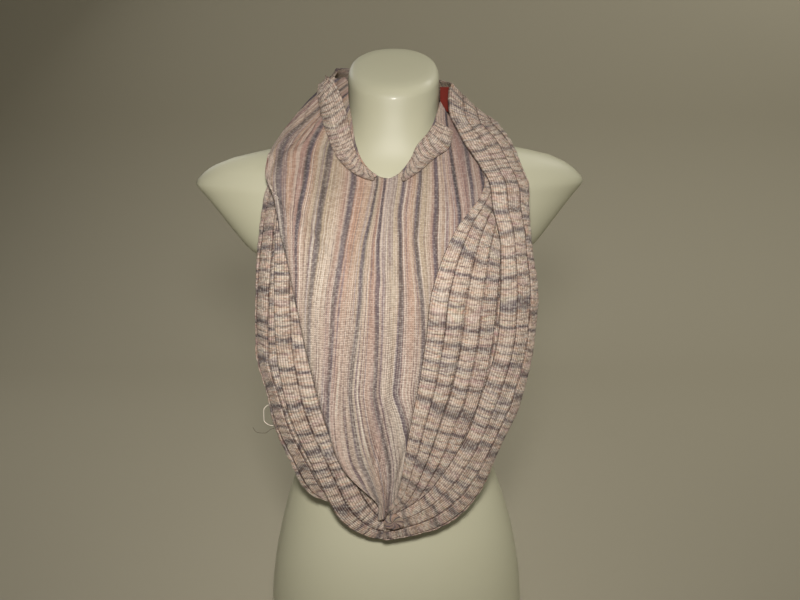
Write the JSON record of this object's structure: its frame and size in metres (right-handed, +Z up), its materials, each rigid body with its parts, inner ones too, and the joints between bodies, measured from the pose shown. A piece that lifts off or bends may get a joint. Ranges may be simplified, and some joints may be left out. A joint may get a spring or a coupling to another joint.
{
  "type": "infinity scarf on a headless armless dress form",
  "caption": "Knitted infinity scarf with a plain half and a ribbed half, hung as a long cowl on a smooth torso dress form.",
  "frame": {"origin": "middle of the whole object's footprint, on the plane that the dress form stands on", "axes": "+Z up; the front of the form and of the scarf faces -Y; +X is the right-hand side in a front view"},
  "size_m": [0.406, 0.239, 0.7204],
  "materials": {
    "form_plastic": "smooth ivory plastic with a soft shine",
    "ribbed_knit": "wide-ribbed fine knit in space-dyed beige, rose and grey yarn, bars across the ribs",
    "plain_knit": "fine plain knit in the same yarn, thin uneven stripes",
    "label_cloth": "small blank rust-coloured woven label"
  },
  "bodies": {
    "root": {"dress_form": "form_plastic", "ribs_right_outer": "ribbed_knit", "ribs_right_inner": "ribbed_knit", "ribs_back_upper": "ribbed_knit", "ribs_back_lower": "ribbed_knit", "ribs_left_outer": "ribbed_knit", "ribs_left_inner": "ribbed_knit", "plain_front": "plain_knit", "plain_back": "plain_knit", "neck_band_left": "ribbed_knit", "neck_band_right": "ribbed_knit", "neck_label": "label_cloth", "bottom_knot": "plain_knit"}
  },
  "joints": []
}
